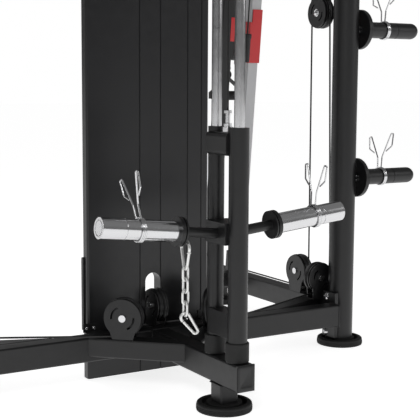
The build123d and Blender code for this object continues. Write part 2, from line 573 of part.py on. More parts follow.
def make_collars():
    """Spring collars on the horns and on the storage pegs."""
    for name, side in SIDES.items():
        fingers = Rot(0, 0, 90 + side * 90)
        place = tilted(side) * Pos(0, 0, along_horn(HORN_COLLARS[name])) * fingers
        collar = Rot(0, 0, HORN_CLIP_TURN[name]) * spring_collar(HORN_SLEEVE_R, HORN_CLIP_SPREAD)
        save(f"{name}_horn_collar", place * collar)
        for level, z in zip(("lower", "upper"), PEG_Z):
            place = Pos(side * PEG_COLLAR, COLUMN_Y, z) * Rot(0, side * 90, 0) * fingers
            collar = Rot(0, 0, side * PEG_CLIP_TURN) * spring_collar(PEG_R, PEG_CLIP_SPREAD)
            save(f"{level}_{name}_peg_collar", place * collar)


def make_pegs():
    """Plate storage pegs on the columns."""
    disc_end = PEG_DISC_X + PEG_DISC_T
    straight_end = PEG_END_X - PEG_R
    peg = rod((COLUMN_X + 20, 0, 0), (PEG_DISC_X, 0, 0), PEG_CORE_R)
    peg += rod((PEG_DISC_X, 0, 0), (disc_end, 0, 0), PEG_DISC_R)
    peg += rod((disc_end, 0, 0), (straight_end, 0, 0), PEG_R)
    peg += Pos(straight_end, 0, 0) * Sphere(PEG_R)
    peg -= Rot(0, 90, 0) * ring_groove(PEG_GROOVE, PEG_R)
    peg -= rod((PEG_SCREW_X, 0, 0), (PEG_SCREW_X, 60, 0), PEG_SCREW_R)
    peg -= Pos(COLUMN_X, 0, 0) * Cylinder(COLUMN_R, 100)
    pegs = []
    for z in PEG_Z:
        pegs += mirrored(Pos(0, COLUMN_Y, z) * peg)
    save("storage_pegs", *pegs)


# ---------------------------------------------------------------- chain
LINK_WIRE, LINK_PITCH, LINK_HALF_W = 2.8, 28.9, 8.2
GATE_R = 3.2
LINKS = 4
LINK_GAP = 0.7                              # play where two links bear on each other
LINK_TURN, LINK_TWIST = 14, 86              # first link's plane about the vertical, turn per link
TOP_HOOK = (18.6, 8, 69)                    # radii of the wide and the narrow end, length
LOW_HOOK = (10.5, 6, 58)
LOW_HOOK_TURN, LOW_HOOK_TILT = 341, 36


def pear(wide_r, narrow_r, length, wire_r):
    """A closed wire loop in the local XZ plane, wide end up; length is between its wire centres."""
    gap = length - wide_r - narrow_r
    lean = asin((wide_r - narrow_r) / gap)
    top, bottom = length / 2 - wide_r, narrow_r - length / 2
    turn = degrees(lean)
    body = wire_loop((0, 0, top), -turn, 180 + turn, wide_r, wire_r)
    body += wire_loop((0, 0, bottom), 180 + turn, 360 - turn, narrow_r, wire_r)
    for sign in (-1, 1):
        start = (sign * wide_r * cos(lean), 0, top - wide_r * sin(lean))
        end = (sign * narrow_r * cos(lean), 0, bottom - narrow_r * sin(lean))
        body += rod(start, end, wire_r)
    return body


def carabiner(wide_r, narrow_r, length):
    """A snap hook in the local XZ plane, open on the +X side, with its gate as a second solid."""
    gap = length - wide_r - narrow_r
    lean = asin((wide_r - narrow_r) / gap)
    mean_r = (wide_r + narrow_r) / 2
    middle = (narrow_r - wide_r) / 2 - mean_r * sin(lean)
    side = Pos(mean_r * cos(lean), 0, middle) * Rot(0, degrees(lean), 0)
    reach = gap * cos(lean) / 2 - 2
    body = pear(wide_r, narrow_r, length, HOOK_WIRE) - side * Box(12, 12, 2 * reach)
    pivot = reach - HOOK_WIRE
    gate = rod((0, 0, 0.4 - reach), (0, 0, pivot), GATE_R)
    gate += Pos(0, 0, pivot) * Sphere(GATE_R)
    gate += Pos(0, 0, pivot) * Rot(90, 0, 0) * Cylinder(2, 9)
    return body, side * gate


def make_chain():
    """Chain hanging from a lug under the right horn: snap hook, links, snap hook."""
    place = Pos(CHAIN_X, HORN_Y, HOOK_Z - TOP_HOOK[2] / 2) * Rot(0, 0, 90)
    body, gate = carabiner(*TOP_HOOK)
    save("top_carabiner", place * body)
    save("top_carabiner_gate", place * gate)

    first = HOOK_Z - TOP_HOOK[2] + HOOK_WIRE - LINK_PITCH / 2 + LINK_GAP
    links = []
    for i in range(LINKS):
        angle = LINK_TURN + i * LINK_TWIST
        z = first - i * (LINK_PITCH - LINK_GAP)
        link = pear(LINK_HALF_W, LINK_HALF_W, LINK_PITCH + 2 * LINK_WIRE, LINK_WIRE)
        links.append(Pos(CHAIN_X, HORN_Y, z) * Rot(0, 0, angle) * link)
    save("chain_links", *links)

    last_inner = first - (LINKS - 1) * (LINK_PITCH - LINK_GAP) - LINK_PITCH / 2
    arc_z = last_inner + HOOK_WIRE + LINK_GAP - LOW_HOOK[0]
    hang = Pos(0, 0, LOW_HOOK[0] - LOW_HOOK[2] / 2)
    place = Pos(CHAIN_X, HORN_Y, arc_z) * Rot(0, 0, LOW_HOOK_TURN) * Rot(0, LOW_HOOK_TILT, 0) * hang
    body, gate = carabiner(*LOW_HOOK)
    save("bottom_carabiner", place * body)
    save("bottom_carabiner_gate", place * gate)


# ---------------------------------------------------------------- weight stack
def weight_plate(index):
    """One plate of the stack, bored for the guide rods, the stem and the pin."""
    z = STACK_Z0 + index * PLATE_H
    body = block(-PLATE_X / 2, PLATE_X / 2, STACK_Y - PLATE_Y / 2, STACK_Y + PLATE_Y / 2, z, z + PLATE_H)
    body = chamfer(body.edges(), 1.5)
    for x in (-STACK_ROD_X, STACK_ROD_X):
        body -= Pos(x, STACK_Y, z) * Cylinder(STACK_ROD_R + SLOT_CLEARANCE, 3 * PLATE_H)
    body -= Pos(0, STACK_Y, z) * Cylinder(STEM_R + SLOT_CLEARANCE, 3 * PLATE_H)
    mid = z + PLATE_H / 2
    return body - rod((0, STACK_Y - PLATE_Y, mid), (0, STACK_Y, mid), PIN_R + RUNNING)


def make_stack():
    """Weight plates, selector stem and pin."""
    plates = [weight_plate(i) for i in range(PLATES)]
    resting = PLATES - LIFTED
    save("resting_weight_plates", *plates[:resting])
    save("lifted_weight_plates", *plates[resting:])
    stem = rod((0, STACK_Y, STACK_Z0 + 4), (0, STACK_Y, STACK_TOP + STEM_RISE), STEM_R)
    stem += rod((0, STACK_Y, STACK_TOP), (0, STACK_Y, STACK_TOP + 12), 24)
    for i in range(PLATES):
        mid = STACK_Z0 + (i + 0.5) * PLATE_H
        stem -= rod((0, STACK_Y - 20, mid), (0, STACK_Y + 20, mid), PIN_R + RUNNING)
    save("selector_stem", stem)
    mid = STACK_Z0 + (resting + 0.5) * PLATE_H
    front = STACK_Y - PLATE_Y / 2
    pin = rod((0, front - 8, mid), (0, STACK_Y + 8, mid), PIN_R)
    pin += rod((0, front - 30, mid), (0, front - 2, mid), 12)
    save("selector_pin", fillet(pin.edges().filter_by(GeomType.CIRCLE).sort_by(Axis.Y)[:1], 3))


# ---------------------------------------------------------------- shrouds
def sheet_profile(points, z0, z1):
    """A thin folded sheet: a path in plan, thickened and extruded."""
    line = Polyline(*points)
    face = make_face(offset(line, SHEET / 2, side=Side.BOTH, kind=Kind.INTERSECTION).edges())
    return Pos(0, 0, z0) * extrude(face, amount=z1 - z0)


def make_shrouds():
    """Rear shroud with its pulley slot, front shroud with its selector slot, and brackets."""
    mid = SHROUD_Y - SHEET / 2
    half = [(SHROUD_HALF - 4, mid), (SHROUD_HALF, mid - 4), (SHROUD_HALF, mid - 25)]
    path = [(-x, y) for x, y in reversed(half)]
    for x in FOLDS:
        path += [(x - FOLD_HALF, mid), (x, mid - FOLD_DEPTH), (x + FOLD_HALF, mid)]
    rear = sheet_profile(path + half, 2, SHROUD_TOP)
    round_z = SLOT_TOP - SLOT_HALF
    slot_base = BEAM_TOP + 2
    outline = make_face(Polyline((-SLOT_HALF, slot_base), (SLOT_HALF, slot_base), (SLOT_HALF, round_z),
                                 (-SLOT_HALF, round_z), close=True))
    outline += Pos(0, round_z) * Circle(SLOT_HALF)
    inner = offset(outline, -SHEET)
    plane = Plane(origin=(SLOT_X, SHROUD_Y, 0), x_dir=(-1, 0, 0), z_dir=(0, 1, 0))
    rear -= extrude(plane * outline, amount=20, both=True)
    rear += extrude(plane * outline, amount=-SLOT_DEPTH) - extrude(plane * inner, amount=50, both=True)
    opening = SLOT_HALF - SHEET
    rear -= block(SLOT_X - opening, SLOT_X + opening, 0, 200, slot_base - 5, slot_base + 10)
    rear -= block(-BASE_PLATE_X - 2, BASE_PLATE_X + 2, 0, SHROUD_Y + 5, 100, slot_base)
    bolt_x, bolt_z = SHROUD_BOLT_X[0], SHROUD_BOLT_Z
    for x in (-bolt_x, bolt_x):
        rear -= rod((x, SHROUD_Y - 5, bolt_z), (x, SHROUD_Y + 5, bolt_z), SHROUD_BOLT_R)
    save("rear_shroud", largest(rear))

    front_half = [(124, -20), (168, 88), (164, 98)]
    front = sheet_profile([(-x, y) for x, y in reversed(front_half)] + front_half, STACK_Z0, SHROUD_TOP)
    save("front_shroud", front - block(-35, 35, -40, 0, STACK_Z0 - 1, 1450))

    back = SHROUD_Y + 0.5
    strip_x = (SHROUD_HALF + 1.5, SHROUD_HALF + 5)
    strip_y, strip_end = sum(STRIP_Y) / 2, (STRIP_Y[1] - STRIP_Y[0]) / 2
    holder = block(152, 200, back, back + SHEET, BEAM_TOP, bolt_z + 13)
    holder += block(152, 200, back, 190, BEAM_TOP, BEAM_TOP + 2.5)
    holder += block(*strip_x, STRIP_Y[0], back + SHEET, BEAM_TOP, BEAM_TOP + 2.5)
    holder += block(*strip_x, *STRIP_Y, BEAM_TOP, STRIP_TOP - strip_end)
    holder += rod((strip_x[0], strip_y, STRIP_TOP - strip_end), (strip_x[1], strip_y, STRIP_TOP - strip_end),
                  strip_end)
    for x in SHROUD_BOLT_X:
        holder -= rod((x, SHROUD_Y - 5, bolt_z), (x, SHROUD_Y + 5, bolt_z), SHROUD_BOLT_R)
    save("shroud_brackets", *mirrored(holder))


# ---------------------------------------------------------------- adjusters
ADJUSTER_S0, ADJUSTER_S1 = 732, 909
PIVOT_Y = -47                       # swivel axis, in front of the column's axis
SWIVEL_S = 782                      # height of the swivel pulley's centre, along the lean
GUIDE_IN, GUIDE_Y = 36, 30          # cable guide, inboard of and behind the column's axis
GUIDE_S0, GUIDE_S1 = 735, 829
HOUSING_X, HOUSING_Y = 22.5, (-27, 24)
LUG_GAP, LUG_H, LUG_R = 64, 10, 12  # lugs above and below the swivel pulley
PIVOT_R = 7
PULL_PIN_S, PULL_PIN_R = 880, 5
PULL_PIN_TIP = -21.6                # the pin is drawn just clear of the column
FORK_NEAR, FORK_FAR, FORK_TIP = 56, 63, 73   # ends of the swivel's trunnion blocks and pivots
HANDLE_DROP = 84                    # cable ball below the swivel pulley's centre


def adjuster_housing(out):
    """Housing that slides on a leaning column, with the lugs that hold its swivel; out is outboard."""
    hollow = block(-21, 21, -21.5, 21.5, 0, 2000)
    housing = block(-HOUSING_X, HOUSING_X, *HOUSING_Y, ADJUSTER_S0, ADJUSTER_S1) - hollow
    housing -= block(-out * 15, -out * 30, -30, 40, ADJUSTER_S0 + 135, 2000)
    for s0 in (SWIVEL_S + LUG_GAP, SWIVEL_S - LUG_GAP - LUG_H):
        lug = block(-10, 10, PIVOT_Y, -24, s0, s0 + LUG_H)
        lug += rod((0, PIVOT_Y, s0), (0, PIVOT_Y, s0 + LUG_H), LUG_R)
        lug -= rod((0, PIVOT_Y, s0 - 1), (0, PIVOT_Y, s0 + LUG_H + 1), PIVOT_R + RUNNING)
        housing += lug
    housing += block(-10, 10, -27, -22, SWIVEL_S - LUG_GAP - LUG_H, ADJUSTER_S0 + 5)
    housing += rod((0, -26, PULL_PIN_S), (0, -38, PULL_PIN_S), 11)
    return housing - rod((0, -10, PULL_PIN_S), (0, -60, PULL_PIN_S), PULL_PIN_R + RUNNING)


def cable_guide(out):
    """Guide at the housing's inboard rear corner, where the cable enters."""
    x = -out * GUIDE_IN
    guide = rod((x, GUIDE_Y, GUIDE_S0), (x, GUIDE_Y, GUIDE_S1 - 16), 12)
    cap = rod((x, GUIDE_Y, GUIDE_S1 - 18), (x, GUIDE_Y, GUIDE_S1), 14)
    guide += fillet(cap.edges().filter_by(GeomType.CIRCLE), 4)
    guide += block(-out * HOUSING_X, x, 12, GUIDE_Y, GUIDE_S0 + 10, GUIDE_S1 - 30)
    return guide - rod((x, GUIDE_Y, GUIDE_S1 - 30), (x, GUIDE_Y, GUIDE_S1 + 50), 3)


def swivel_fork():
    """Fork that holds the swivel pulley at the origin and turns on trunnions behind it."""
    fork = bracket(0, floor=False) + rod((-14, 0, 0), (14, 0, 0), AXLE_R)
    back = CABLE_PATH_R
    for sign in (-1, 1):
        near, far, tip = sign * FORK_NEAR, sign * FORK_FAR, sign * FORK_TIP
        fork += block(-16.5, 16.5, back - 26, back + 4, near, far)
        fork += rod((0, back, near), (0, back, far), 13)
        fork += rod((0, back, near), (0, back, tip), PIVOT_R)
        for offset_x in (-PLATE_GAP - PLATE_T / 2, PLATE_GAP + PLATE_T / 2):
            fork += block(offset_x - 2, offset_x + 2, back - 26, back + 4, sign * 20, far)
    return fork - rod((0, back, 30), (0, back, FORK_TIP + 10), CABLE_R + 1.5)


def pull_handle():
    """Cable ball, ring, webbing legs and grip, hanging below the point where the cable leaves."""
    drop = HANDLE_DROP
    handle = Pos(0, 0, -drop) * Sphere(11)
    handle += Pos(0, 0, -drop - 22) * Rot(90, 0, 90) * Torus(13, 3)
    handle += Pos(0, 0, -drop - 95) * Rot(0, 90, 0) * Cylinder(15, 120)
    handle += Pos(0, 0, -drop - 95) * Rot(0, 90, 0) * Cylinder(8, 138)
    for sign in (-1, 1):
        leg = make_face(Polyline((sign * 4, -drop - 33), (sign * 70, -drop - 84), (sign * 70, -drop - 106),
                                 (sign * 66, -drop - 106), (sign * 66, -drop - 86),
                                 (sign * 2, -drop - 37), close=True))
        handle += extrude(Plane.XZ * leg, amount=12, both=True)
    return handle


def make_adjusters():
    """Sliding adjuster housings, pull pins, swivel forks, swivel pulleys and handles."""
    for name, side in SIDES.items():
        frame = leaning(side)
        save(f"{name}_adjuster", frame * adjuster_housing(side))
        save(f"{name}_cable_guide", frame * cable_guide(side))
        pin = rod((0, PULL_PIN_TIP, PULL_PIN_S), (0, -60, PULL_PIN_S), PULL_PIN_R)
        pin += rod((0, -50, PULL_PIN_S), (0, -75, PULL_PIN_S), 15)
        save(f"{name}_pull_pin", frame * pin)
        place = frame * Pos(0, PIVOT_Y - CABLE_PATH_R, SWIVEL_S)
        save(f"{name}_swivel_bracket", place * swivel_fork())
        save(f"{name}_swivel_pulley", place * wheel())
        save(f"{name}_handle", place * Pos(0, -CABLE_PATH_R, 0) * Rot(LEAN, 0, 0) * pull_handle())


# ---------------------------------------------------------------- cables
def make_cables():
    """Cable runs of the side loops, the stack and the carriage."""
    runs = []
    r, small_r = CABLE_PATH_R, SMALL_PATH_R
    below_top = TOP_Z - TOP_TUBE
    front_z = OUTER_WHEEL_Z - r
    for side in (-1, 1):
        x = side * SIDE_CABLE_X
        corner_x = side * (CORNER_X + small_r)
        runs.append(rod((x, BASE_WHEEL_Y + r, OUTER_WHEEL_Z + 5), (x, FLOAT_Y - small_r, FLOAT_Z - 5), CABLE_R))
        runs.append(rod((x, FLOAT_Y + small_r, FLOAT_Z - 5), (corner_x, CORNER_Y, OUTER_WHEEL_Z + 5), CABLE_R))
        runs.append(rod((x, BASE_WHEEL_Y - 5, front_z), (x, FRONT_Y + 32, front_z), CABLE_R))
        runs.append(rod((x, FLOAT_Y, FLOAT_Z + FLOAT_EYE + 1), (x, FLOAT_Y, below_top), CABLE_R))
        strand = rod((0, 0, GUIDE_S1 - 25), (0, 0, LEAN_TOP - 62), CABLE_R)
        runs.append(leaning(side) * Pos(-side * GUIDE_IN, GUIDE_Y, 0) * strand)
    runs.append(rod((0, STACK_Y, STACK_TOP + STEM_RISE + 1), (0, STACK_Y, below_top - ROD_PLATE_T), CABLE_R))
    runs.append(rod((0, HORN_Y, STUD_STEPS[-1][1] + 1), (0, HORN_Y, below_top), CABLE_R))
    save("cables", *runs)


make_base()
make_leaning_columns()
make_top()
make_pulleys()
make_carriage()
make_collars()
make_pegs()
make_chain()
make_stack()
make_shrouds()
make_adjusters()
make_cables()
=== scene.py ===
import json
import math

import bpy
from mathutils import Matrix, Vector


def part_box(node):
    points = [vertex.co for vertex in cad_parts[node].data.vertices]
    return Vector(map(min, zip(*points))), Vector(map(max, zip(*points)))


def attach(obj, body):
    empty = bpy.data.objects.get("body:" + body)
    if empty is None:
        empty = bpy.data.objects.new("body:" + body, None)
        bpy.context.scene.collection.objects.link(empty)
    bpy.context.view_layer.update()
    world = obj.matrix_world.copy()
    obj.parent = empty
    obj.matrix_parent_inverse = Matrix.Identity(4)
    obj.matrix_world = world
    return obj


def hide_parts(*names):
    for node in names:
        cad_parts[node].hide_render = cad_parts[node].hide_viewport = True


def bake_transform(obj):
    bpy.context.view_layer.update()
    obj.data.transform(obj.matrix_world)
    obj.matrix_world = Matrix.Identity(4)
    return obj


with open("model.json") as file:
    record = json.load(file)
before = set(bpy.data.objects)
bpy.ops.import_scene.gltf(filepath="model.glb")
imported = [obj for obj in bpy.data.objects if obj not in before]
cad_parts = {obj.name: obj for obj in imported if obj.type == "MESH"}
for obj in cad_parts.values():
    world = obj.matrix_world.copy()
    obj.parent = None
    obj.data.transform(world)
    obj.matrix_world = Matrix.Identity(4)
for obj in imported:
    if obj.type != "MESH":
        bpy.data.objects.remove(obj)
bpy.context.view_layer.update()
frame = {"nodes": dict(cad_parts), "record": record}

JOINTS = {joint["name"]: joint for joint in frame["record"]["behaviour"]["joints"]}


# ------------------------------------------------------------------ materials
def add(tree, kind, **values):
    """Add one node; values set its properties, or its inputs by name with spaces as underscores."""
    node = tree.nodes.new(kind)
    for key, value in values.items():
        if hasattr(node, key):
            setattr(node, key, value)
        else:
            node.inputs[key.replace("_", " ").title()].default_value = value
    return node


def scaled(colour, factor):
    """A colour made lighter or darker, with full alpha."""
    return (*[min(channel * factor, 1) for channel in colour], 1)


def finish(name, base, roughness, metallic=0.0, grain=900, grain_depth=0.00006, mottling=0.12,
           coat=0.0, rough_spread=0.08, edge=1.5, edge_r=0.0008):
    """Paint, plastic or metal: fine surface grain, broad mottling, uneven gloss, rounded edges and a painted
    highlight: colour lightened in patches along the edges.
    """
    material = bpy.data.materials.new(name)
    material.use_nodes = True
    tree = material.node_tree
    link = tree.links.new
    shader = tree.nodes["Principled BSDF"]
    place = add(tree, "ShaderNodeTexCoord")
    fine = add(tree, "ShaderNodeTexNoise", Scale=grain, Detail=3.0)
    broad = add(tree, "ShaderNodeTexNoise", Scale=7.0, Detail=4.0)
    smudge = add(tree, "ShaderNodeTexNoise", Scale=45.0, Detail=6.0)
    for texture in (fine, broad, smudge):
        link(place.outputs["Object"], texture.inputs["Vector"])

    colour = add(tree, "ShaderNodeMix", data_type="RGBA")
    colour.inputs["A"].default_value = scaled(base, 1 - mottling)
    colour.inputs["B"].default_value = scaled(base, 1 + mottling)
    link(broad.outputs["Fac"], colour.inputs["Factor"])

    rounded = add(tree, "ShaderNodeBevel", samples=4, Radius=edge_r)
    geometry = add(tree, "ShaderNodeNewGeometry")
    facing = add(tree, "ShaderNodeVectorMath", operation="DOT_PRODUCT")
    link(rounded.outputs["Normal"], facing.inputs[0])
    link(geometry.outputs["Normal"], facing.inputs[1])
    # Painted highlight: near rounded edges the colour is lightened by the edge factor, in noise patches,
    # standing in for light caught on the edges.
    edge_mask = add(tree, "ShaderNodeMapRange")
    edge_mask.inputs["From Min"].default_value = 0.995
    edge_mask.inputs["From Max"].default_value = 0.90
    link(facing.outputs["Value"], edge_mask.inputs["Value"])
    patchy = add(tree, "ShaderNodeMath", operation="MULTIPLY")
    link(edge_mask.outputs["Result"], patchy.inputs[0])
    link(smudge.outputs["Fac"], patchy.inputs[1])
    # Mix in the painted edge highlight colour.
    painted_edge_highlight = add(tree, "ShaderNodeMix", data_type="RGBA")
    painted_edge_highlight.inputs["B"].default_value = scaled(base, edge)
    link(patchy.outputs["Value"], painted_edge_highlight.inputs["Factor"])
    link(colour.outputs["Result"], painted_edge_highlight.inputs["A"])
    link(painted_edge_highlight.outputs["Result"], shader.inputs["Base Color"])

    spread = add(tree, "ShaderNodeMapRange")
    spread.inputs["To Min"].default_value = max(roughness - rough_spread, 0.02)
    spread.inputs["To Max"].default_value = roughness + rough_spread
    link(smudge.outputs["Fac"], spread.inputs["Value"])
    link(spread.outputs["Result"], shader.inputs["Roughness"])
    bump = add(tree, "ShaderNodeBump", Strength=0.5, Distance=grain_depth)
    link(fine.outputs["Fac"], bump.inputs["Height"])
    link(rounded.outputs["Normal"], bump.inputs["Normal"])
    link(bump.outputs["Normal"], shader.inputs["Normal"])
    shader.inputs["Metallic"].default_value = metallic
    shader.inputs["Coat Weight"].default_value = coat
    shader.inputs["Coat Roughness"].default_value = 0.12
    return material


MATERIALS = {
    "black_powder_coat": finish("black_powder_coat", (0.006, 0.006, 0.0065), 0.40, grain=1400, edge=3.0),
    "black_gloss_sheet": finish("black_gloss_sheet", (0.007, 0.007, 0.008), 0.32, grain=1800, edge=2.5),
    "chrome": finish("chrome", (0.66, 0.66, 0.67), 0.16, metallic=1.0, grain=500, grain_depth=0.00001,
                     mottling=0.03, rough_spread=0.05, edge=1.2),
    "zinc_plated_steel": finish("zinc_plated_steel", (0.80, 0.80, 0.79), 0.30, metallic=0.8, grain=2500,
                                mottling=0.1),
    "silver_powder_coat": finish("silver_powder_coat", (0.50, 0.50, 0.51), 0.40, metallic=0.3, grain=1800,
                                 edge=1.4),
    "red_powder_coat": finish("red_powder_coat", (0.60, 0.008, 0.012), 0.32, grain=1400, coat=0.25),
    "black_rubber": finish("black_rubber", (0.008, 0.008, 0.008), 0.70, grain=1200, grain_depth=0.0002,
                           edge=2.5, edge_r=0.0015),
    "black_plastic": finish("black_plastic", (0.007, 0.007, 0.0075), 0.42, grain=2200, edge=2.5),
    "cable_jacket": finish("cable_jacket", (0.007, 0.007, 0.007), 0.32, grain=3000),
    "cast_plates": finish("cast_plates", (0.012, 0.012, 0.013), 0.60, grain=600, grain_depth=0.0004,
                          edge=3.0, edge_r=0.0015),
}

for part in frame["record"]["subparts"]:
    node = frame["nodes"][part["node"]]
    node.data.materials.clear()
    node.data.materials.append(MATERIALS[part["material_slot"]])


# ------------------------------------------------------------------ mesh pieces
def middle(node):
    """Centre of a CAD node's box."""
    low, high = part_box(node)
    return (Vector(low) + Vector(high)) / 2


def mesh_piece(name, vertices, faces, slot, body=None):
    """A smooth-shaded mesh with a record finish, riding a body if one is given."""
    mesh = bpy.data.meshes.new(name)
    mesh.from_pydata([tuple(vertex) for vertex in vertices], [], faces)
    mesh.polygons.foreach_set("use_smooth", [True] * len(mesh.polygons))
    mesh.materials.append(MATERIALS[slot])
    piece = bpy.data.objects.new(name, mesh)
    bpy.context.scene.collection.objects.link(piece)
    if body:
        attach(piece, body)
    return piece


def strips(rows, columns, first=0):
    """Quads between successive closed rows of vertices."""
    faces = []
    for row in range(rows - 1):
        for column in range(columns):
            after = (column + 1) % columns
            a, b = first + row * columns + column, first + row * columns + after
            faces.append((a, b, b + columns, a + columns))
    return faces


def tube_mesh(points, radius, columns=12, ripple=0.0):
    """Vertices and faces of a closed tube along a path; ripple swells it like the scales of a weld bead."""
    points = [Vector(point) for point in points]
    side = None
    vertices = []
    for i, point in enumerate(points):
        ahead = points[min(i + 1, len(points) - 1)] - points[max(i - 1, 0)]
        ahead.normalize()
        if side is None:
            side = ahead.orthogonal().normalized()
        side = (side - ahead * side.dot(ahead)).normalized()
        other = ahead.cross(side)
        swollen = radius * (1 + ripple * math.sin(2.1 * i))
        for k in range(columns):
            angle = math.tau * k / columns
            vertices.append(point + (side * math.cos(angle) + other * math.sin(angle)) * swollen)
    faces = strips(len(points), columns)
    last = (len(points) - 1) * columns
    faces.append(tuple(reversed(range(columns))))
    faces.append(tuple(range(last, last + columns)))
    return vertices, faces


def lathe(name, profile, place, axis, slot, body, columns=40):
    """A turned piece: (radius, height) pairs about an axis through a place, closed at both ends."""
    turn = Vector((0, 0, 1)).rotation_difference(Vector(axis)).to_matrix()
    vertices = []
    for radius, height in profile:
        for k in range(columns):
            angle = math.tau * k / columns
            local = Vector((radius * math.cos(angle), radius * math.sin(angle), height))
            vertices.append(Vector(place) + turn @ local)
    last = (len(profile) - 1) * columns
    faces = strips(len(profile), columns)
    faces += [tuple(reversed(range(columns))), tuple(range(last, last + columns))]
    return mesh_piece(name, vertices, faces, slot, body)


def arc(centre, radius, start, end, across, upward, steps=24):
    """Points of an arc; its angles run in degrees from the across direction towards the upward one."""
    points = []
    for i in range(steps + 1):
        angle = math.radians(start + (end - start) * i / steps)
        points.append(Vector(centre) + (Vector(across) * math.cos(angle)
                                        + Vector(upward) * math.sin(angle)) * radius)
    return points


def straight(start, end, steps=24):
    """Evenly spaced points of a straight run."""
    return [Vector(start).lerp(Vector(end), i / steps) for i in range(steps + 1)]


# ------------------------------------------------------------------ shared directions and sizes, in metres
X, Y, Z = Vector((1, 0, 0)), Vector((0, 1, 0)), Vector((0, 0, 1))
SIDES = {"left": -1, "right": 1}
TUBE_HALF = 0.025                  # half the width of the base's beams
BEAM_H = 0.065                     # height of the base's beams
TOP_TUBE = 0.050                   # height of the top frame's tubes
FOOT_R = 0.0685                    # radius of the rubber feet


# ------------------------------------------------------------------ cables
CABLE_R = 0.0025
GROOVE_INSET = 0.002               # from a wheel's rim down to the middle line of its cable
ROD_PLATE_T = 0.010                # thickness of the plate under the top frame's beams
FRONT_RUN_END = 0.055              # from the front of the column brackets' box back to the front run's end


def cable(name, points, body="root"):
    """A jacketed cable run that rides one body."""
    return mesh_piece(name, *tube_mesh(points, CABLE_R), "cable_jacket", body)


def stretching_cable(name, fixed, moving):
    """A straight run from a fixed end to a moving one, baked in place."""
    piece = mesh_piece(name, *tube_mesh(straight(fixed, moving, 60), CABLE_R), "cable_jacket")
    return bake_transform(piece)


def wheel_of(joint):
    """Centre of the wheel that a hinge turns."""
    return Vector(JOINTS[joint]["pos_m"])


def path_round(wheels):
    """Radius of the middle line of the cable round the wheels of a CAD node."""
    low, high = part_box(wheels)
    return (high[2] - low[2]) / 2 - GROOVE_INSET


def make_cables():
    """Every visible cable run, and the wraps round the wheels."""
    small_r, front_r = path_round("float_pulleys"), path_round("front_base_pulleys")
    rod_plate_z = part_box("top_frame_beams")[0][2]
    beam_under_z = rod_plate_z + ROD_PLATE_T
    stud = middle("cable_stud")
    stem = middle("selector_stem")
    stud_top, stem_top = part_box("cable_stud")[1][2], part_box("selector_stem")[1][2]
    first = stretching_cable("carriage_cable", (stud.x, stud.y, beam_under_z), (stud.x, stud.y, stud_top))
    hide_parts("cables")
    stretching_cable("stack_cable", (stem.x, stem.y, rod_plate_z), (stem.x, stem.y, stem_top))

    front_wheel, float_wheel = wheel_of("front_base_pulley_spin"), wheel_of("float_pulley_spin")
    hanger_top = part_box("float_brackets")[1][2]
    column_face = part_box("column_brackets")[0][1] + FRONT_RUN_END
    for name, side in SIDES.items():
        out = X * side
        front, high = front_wheel.copy(), float_wheel.copy()
        front.x, high.x = side * abs(front.x), side * abs(high.x)
        corner = wheel_of(f"{name}_corner_pulley_spin")
        stretching_cable(f"{name}_float_cable", (high.x, high.y, beam_under_z), (high.x, high.y, hanger_top))
        stretching_cable(f"{name}_front_run", front + Y * front_r, high - Y * small_r)
        stretching_cable(f"{name}_rear_run", corner + out * small_r, high + Y * small_r)
        cable(f"{name}_float_wrap", arc(high, small_r, 180, 0, Y, Z), "float_blocks")
        low_front = arc(front, front_r, 0, -90, Y, Z)
        run_end = (front.x, column_face, low_front[-1].z)
        cable(f"{name}_front_wrap", low_front + straight(low_front[-1], run_end))
        low_corner = arc(corner, small_r, 0, -90, out, Z)
        brace = middle(f"{name}_brace_pulley") - Z * path_round(f"{name}_brace_pulley")
        cable(f"{name}_corner_wrap", low_corner + straight(low_corner[-1], brace)[1:])

        lean = Vector(JOINTS[f"{name}_adjuster_slide"]["axis"])
        low, high_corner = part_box(f"{name}_cable_guide")
        cap_r = 0.014
        inner_x = low[0] if side > 0 else high_corner[0]
        entry = Vector((inner_x + side * cap_r, high_corner[1] - cap_r, high_corner[2] - 0.002))
        reach = (beam_under_z - 0.07 - entry.z) / lean.z
        stretching_cable(f"{name}_adjuster_cable", entry + lean * reach, entry - lean * 0.02)

        swivel = wheel_of(f"{name}_swivel_pulley_spin")
        behind = (wheel_of(f"{name}_swivel_turn") - swivel).normalized()
        swivel_r = path_round("front_base_pulleys")
        wrap = arc(swivel, swivel_r, 0, 180, behind, lean)
        cable(f"{name}_swivel_cable", straight(swivel + behind * swivel_r - lean * 0.055, wrap[0], 8) + wrap,
              f"{name}_swivel")
        drop = Vector(JOINTS[f"{name}_handle_swing"]["pos_m"])
        ball_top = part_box(f"{name}_handle")[1][2] - 0.004
        cable(f"{name}_handle_cable", straight(drop, (drop.x, drop.y, ball_top), 8), f"{name}_handle")


# ------------------------------------------------------------------ small fittings
def cap_profile(radius, height, steps=6):
    """A low domed cap with a straight skirt."""
    profile = [(radius, 0), (radius, height * 0.45)]
    for i in range(1, steps + 1):
        angle = math.pi / 2 * i / steps
        profile.append((radius * math.cos(angle) + 0.00005, height * (0.45 + 0.55 * math.sin(angle))))
    return profile


def make_axle_caps():
    """Bright caps on the axle ends of the floating and the swivel wheels, with a thin washer below."""
    cheek_face, washer_t = 0.0165, 0.0012
    places = []
    for name, side in SIDES.items():
        high = wheel_of("float_pulley_spin")
        high.x = side * abs(high.x)
        places.append((f"{name}_float", high, "float_blocks"))
        places.append((f"{name}_swivel", wheel_of(f"{name}_swivel_pulley_spin"), f"{name}_swivel"))
    for name, centre, body in places:
        for sign, end in ((-1, "a"), (1, "b")):
            face = centre + X * sign * cheek_face
            lathe(f"{name}_axle_washer_{end}", [(0.0115, 0), (0.0115, washer_t), (0.006, 0.0013)], face,
                  X * sign, "chrome", body)
            lathe(f"{name}_axle_cap_{end}", cap_profile(0.009, 0.0055), face + X * sign * washer_t, X * sign,
                  "chrome", body)


